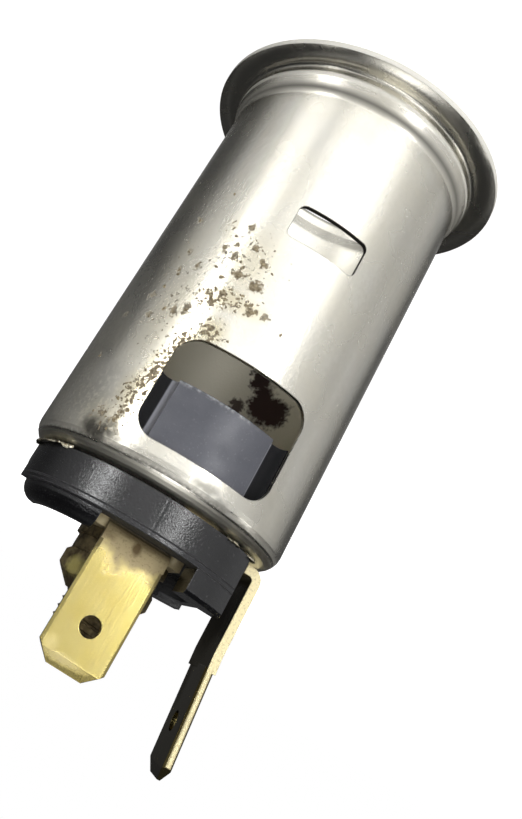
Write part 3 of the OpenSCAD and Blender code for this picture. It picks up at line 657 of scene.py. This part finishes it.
tarnish = {
    "brown": "#857757", "dark": "#4a402d", "yellow": "#c6ba74",
    "metallic": 0.8, "roughness": 0.45, "smoothest": 0.38, "roughest": 0.65, "skinDepth": 0.03, "edgeRound": 0.12,
    "clouds": {"size": 0.9, "low": 0.35, "high": 0.65, "shift": 3.0, "detail": 4.0},
    "brightPart": ((3.0, 46.2, 0.5, 0.7, 0.9), (2.2, 46.8, 0.35, 0.4, 0.6)), "rubbedRagged": (0.5, (0.6, 0.6, 0)),
}


# brass gone brown: a dull skin with dirty hollows, and the yellow rubbed free in places
def tarnishedBrass(setup):
    material, tree, shader = newFinish("tarnishedBrass", setup["brown"], setup["metallic"], setup["roughness"])
    mm = pointInMm(tree)
    clouds = grain(tree, mm, **setup["clouds"])
    colour = over(tree, rgb(setup["brown"]), clouds, setup["dark"])
    fromFront = ragged(tree, placeOnBlade(tree, mm, "X"), mm, *setup["rubbedRagged"])
    colour = over(tree, colour, spots(tree, fromFront, setup["brightPart"], soft=0.4), setup["yellow"])
    rough = addNode(tree, "ShaderNodeMapRange", {
        "Value": clouds, "To Min": setup["smoothest"], "To Max": setup["roughest"]})
    tree.links.new(colour, shader.inputs["Base Color"])
    tree.links.new(rough.outputs[0], shader.inputs["Roughness"])
    tree.links.new(surfaceNormal(tree, clouds, setup["skinDepth"], setup["edgeRound"]), shader.inputs["Normal"])
    return material


scab = {"plain": "#a09478", "darkening": "#6a5e4a", "metallic": 0.0, "roughness": 0.8, "depth": 0.02,
        "crumbs": {"size": 0.2, "low": 0.35, "high": 0.65, "shift": 6.0}}
foil = {"plain": "#d3cdb8", "darkening": "#736a55", "metallic": 1.0, "roughness": 0.3, "depth": 0.03,
        "crumbs": {"size": 0.25, "low": 0.4, "high": 0.62, "shift": 2.0}}


# iron oxide scab: matt, crumbly and tan brown
# torn nickel foil: a thin bright strip of the plating, creased, with dirt in the creases
def crumbled(name, setup):
    material, tree, shader = newFinish(name, setup["plain"], setup["metallic"], setup["roughness"])
    crumbs = grain(tree, pointInMm(tree), **setup["crumbs"])
    tree.links.new(over(tree, rgb(setup["plain"]), crumbs, setup["darkening"]), shader.inputs["Base Color"])
    tree.links.new(surfaceNormal(tree, crumbs, setup["depth"]), shader.inputs["Normal"])
    return material


tarnishedFinish = tarnishedBrass(tarnish)
rustFinish = crumbled("ironOxideScab", scab)
foilFinish = crumbled("tornNickelFoil", foil)
finishes = {
    "shell": satinNickelPlate(nickel),
    "inner_insulator": slatePhenolic(slate),
    "rear_insulator": blackPhenolic(moulding),
    "centre_contact": tarnishedFinish,
    "ground_terminal": stampedBrass(brass, groundBlade),
    "positive_terminal": stampedBrass(brass, positiveBlade),
    "plain_washer": tarnishedFinish,
    "spring_washer": tarnishedFinish,
    "nut": tarnishedFinish,
}
for nodeName, finish in finishes.items():
    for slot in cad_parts[nodeName].material_slots:
        slot.material = finish
print("finishes set on", len(finishes), "nodes")


# a geometry tree with named number inputs
def newTree(name, numbers):
    tree = bpy.data.node_groups.new(name, "GeometryNodeTree")
    tree.interface.new_socket(name="Geometry", in_out="INPUT", socket_type="NodeSocketGeometry")
    for key, value in numbers.items():
        kind = "NodeSocketInt" if isinstance(value, int) else "NodeSocketFloat"
        tree.interface.new_socket(name=key, in_out="INPUT", socket_type=kind)
    tree.interface.new_socket(name="Geometry", in_out="OUTPUT", socket_type="NodeSocketGeometry")
    return tree, addNode(tree, "NodeGroupInput")


# closes the tree, sets its numbers by the sockets' identifiers and turns what it makes into a plain mesh piece
def pieceFromTree(name, tree, result, finish, numbers, points=((0, 0, 0),)):
    whole = addNode(tree, "GeometryNodeRealizeInstances", {0: result})
    painted = addNode(tree, "GeometryNodeSetMaterial", {"Geometry": whole, "Material": finish})
    addNode(tree, "NodeGroupOutput", {0: painted})
    base = bpy.data.meshes.new(name)
    base.from_pydata(list(points), [], [])
    piece = bpy.data.objects.new(name, base)
    bpy.context.scene.collection.objects.link(piece)
    modifier = piece.modifiers.new("shape", "NODES")
    modifier.node_group = tree
    for item in tree.interface.items_tree:
        if item.in_out == "INPUT" and item.name in numbers:
            modifier[item.identifier] = numbers[item.name]
    graph = bpy.context.evaluated_depsgraph_get()
    mesh = bpy.data.meshes.new_from_object(piece.evaluated_get(graph), depsgraph=graph)
    piece.modifiers.clear()
    piece.data = mesh
    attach(piece, "root")
    print(name, len(mesh.polygons), "faces")


millimetre = 0.001
thread = {"radius": 2.22 * millimetre, "pitch": 0.7 * millimetre, "turns": 3.6, "ridge": 0.17 * millimetre,
          "bottom": 47.85 * millimetre, "steps": 40}


# rolled thread on the end of the stud
def studThread(setup):
    tree, given = newTree("studThread", setup)
    sizes = given.outputs
    rise = addNode(tree, "ShaderNodeMath", {0: sizes["pitch"], 1: sizes["turns"]}, operation="MULTIPLY")
    coil = addNode(tree, "GeometryNodeCurveSpiral", {
        "Resolution": sizes["steps"], "Rotations": sizes["turns"], "Start Radius": sizes["radius"],
        "End Radius": sizes["radius"], "Height": rise})
    lift = addNode(tree, "ShaderNodeCombineXYZ", {"Z": sizes["bottom"]})
    placed = addNode(tree, "GeometryNodeTransform", {"Geometry": coil, "Translation": lift})
    upright = addNode(tree, "GeometryNodeSetCurveNormal", {"Curve": placed}, mode="Z_UP")
    # four sides give the ridge its sharp crest
    profile = addNode(tree, "GeometryNodeCurvePrimitiveCircle", {"Resolution": 4, "Radius": sizes["ridge"]})
    ridge = addNode(tree, "GeometryNodeCurveToMesh", {0: upright, 1: profile, "Fill Caps": True})
    pieceFromTree("stud_thread", tree, ridge, tarnishedFinish, setup)


studThread(thread)

flakes = {"smallest": 0.05 * millimetre, "largest": 0.22 * millimetre, "thickness": 0.025 * millimetre,
          "roughness": 0.24 * millimetre, "seed": 7}
flakeShape = {"rounds": 2, "lumpsPerMetre": 3500.0}
flakeField = {"wall": 11.3, "extra": 150, "seed": 5, "spread": 0.55, "top": 37.6,
              "windowHalf": 5.9, "windowLow": 27.8, "windowHigh": 36.9}


# where the scabs of rust sit on the can's wall, in metres
def flakePlaces(setup, skin):
    draw = random.Random(setup["seed"])
    wanted = [flake[:2] for flake in skin["flakes"]]
    while len(wanted) < len(skin["flakes"]) + setup["extra"]:
        azimuth, height, halfWidth, halfHeight, strength = draw.choice(skin["rustField"])
        if draw.random() < strength:
            wanted.append((draw.gauss(azimuth, halfWidth * setup["spread"]),
                           draw.gauss(height, halfHeight * setup["spread"])))
    places = []
    for azimuth, height in wanted:
        x = setup["wall"] * math.cos(math.radians(azimuth))
        y = setup["wall"] * math.sin(math.radians(azimuth))
        inWindow = abs(x) < setup["windowHalf"] and setup["windowLow"] < height < setup["windowHigh"]
        if not inWindow and height < setup["top"]:
            places.append((x * millimetre, y * millimetre, height * millimetre))
    return places


# thin ragged scabs that lie on the wall
def rustFlakes(setup, shape, places):
    tree, given = newTree("rustFlakes", setup)
    sizes = given.outputs
    scabShape = addNode(tree, "GeometryNodeMeshIcoSphere", {"Radius": 1.0, "Subdivisions": shape["rounds"]})
    point = addNode(tree, "GeometryNodeInputPosition")
    outward = addNode(tree, "ShaderNodeVectorMath", {0: point, 1: (1, 1, 0)}, operation="MULTIPLY")
    facing = addNode(tree, "FunctionNodeAlignRotationToVector", {"Vector": outward}, axis="Z")
    least, most = (addNode(tree, "ShaderNodeCombineXYZ", {
        "X": sizes[width], "Y": sizes[width], "Z": sizes["thickness"]}) for width in ("smallest", "largest"))
    size = addNode(tree, "FunctionNodeRandomValue", {0: least, 1: most, "Seed": sizes["seed"]},
                   data_type="FLOAT_VECTOR")
    placed = addNode(tree, "GeometryNodeInstanceOnPoints", {
        "Points": sizes[0], "Instance": scabShape, "Rotation": facing, "Scale": size})
    whole = addNode(tree, "GeometryNodeRealizeInstances", {0: placed})
    cloud = addNode(tree, "ShaderNodeTexNoise", {"Vector": point, "Scale": shape["lumpsPerMetre"], "Detail": 1.0})
    centred = addNode(tree, "ShaderNodeVectorMath", {
        0: cloud.outputs["Color"], 1: (-0.5, -0.5, -0.5)}, operation="ADD")
    push = addNode(tree, "ShaderNodeVectorMath", {0: centred, "Scale": sizes["roughness"]}, operation="SCALE")
    lumpy = addNode(tree, "GeometryNodeSetPosition", {"Geometry": whole, "Offset": push})
    pieceFromTree("rust_flakes", tree, lumpy, rustFinish, setup, places)


rustFlakes(flakes, flakeShape, flakePlaces(flakeField, nickel))

# degrees from, to, steps; rows of (radius, height) in millimetres across the strip; how far its points wander
lip = {"from": 2.0, "to": -37.0, "steps": 60, "wander": 0.13, "grain": 1.1, "thickness": 0.07,
       "rows": ((10.15, 39.19), (10.42, 39.24), (10.62, 39.36), (10.74, 39.52))}
slivers = (
    {"from": -117.0, "to": -126.0, "steps": 18, "wander": 0.14, "grain": 2.2, "thickness": 0.05,
     "rows": ((9.5, 39.22), (9.95, 39.30), (10.36, 39.34), (10.52, 39.46))},
    {"from": -134.0, "to": -142.0, "steps": 16, "wander": 0.16, "grain": 2.4, "thickness": 0.05,
     "rows": ((9.7, 39.22), (10.05, 39.30), (10.38, 39.36), (10.55, 39.5))},
)
# the noise in them: its pace along and across the strip, its pull on the width, and how soon the ends taper
tearing = {"along": 0.35, "across": 1.3, "pull": 0.5, "pullPace": 0.8, "liftShift": (7, 3, 1), "taper": 6}


# a ragged ribbon of sheet round the axis; its outer rows wander more than its root
def tornStrip(name, setup, tear, finish):
    build = bmesh.new()
    grid = []
    rows = setup["rows"]
    root = rows[0][0]
    for step in range(setup["steps"] + 1):
        share = step / setup["steps"]
        azimuth = math.radians(setup["from"] + (setup["to"] - setup["from"]) * share)
        ends = min(1.0, tear["taper"] * share, tear["taper"] * (1 - share))
        line = []
        for index, (radius, height) in enumerate(rows):
            free = index / (len(rows) - 1)
            spot = Vector((step * setup["grain"] * tear["along"], index * tear["across"], height))
            pull = 1 + tear["pull"] * free * noise.noise(spot * tear["pullPace"])
            reach = root + (radius - root) * ends * pull
            lift = height + setup["wander"] * free * noise.noise(spot + Vector(tear["liftShift"]))
            line.append(build.verts.new((reach * math.cos(azimuth) * millimetre,
                                         reach * math.sin(azimuth) * millimetre, lift * millimetre)))
        grid.append(line)
    for first, second in zip(grid, grid[1:]):
        for index in range(len(rows) - 1):
            build.faces.new((first[index], first[index + 1], second[index + 1], second[index]))
    bmesh.ops.recalc_face_normals(build, faces=build.faces)
    mesh = bpy.data.meshes.new(name)
    build.to_mesh(mesh)
    build.free()
    piece = bpy.data.objects.new(name, mesh)
    bpy.context.scene.collection.objects.link(piece)
    wall = piece.modifiers.new("wall", "SOLIDIFY")
    wall.thickness = setup["thickness"] * millimetre
    wall.offset = 0
    mesh.materials.append(finish)
    for face in mesh.polygons:
        face.use_smooth = True
    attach(piece, "root")


tornStrip("torn_lip", lip, tearing, foilFinish)
for number, sliver in enumerate(slivers, 1):
    tornStrip("foil_sliver_" + str(number), sliver, tearing, foilFinish)
print("torn lip and slivers made")
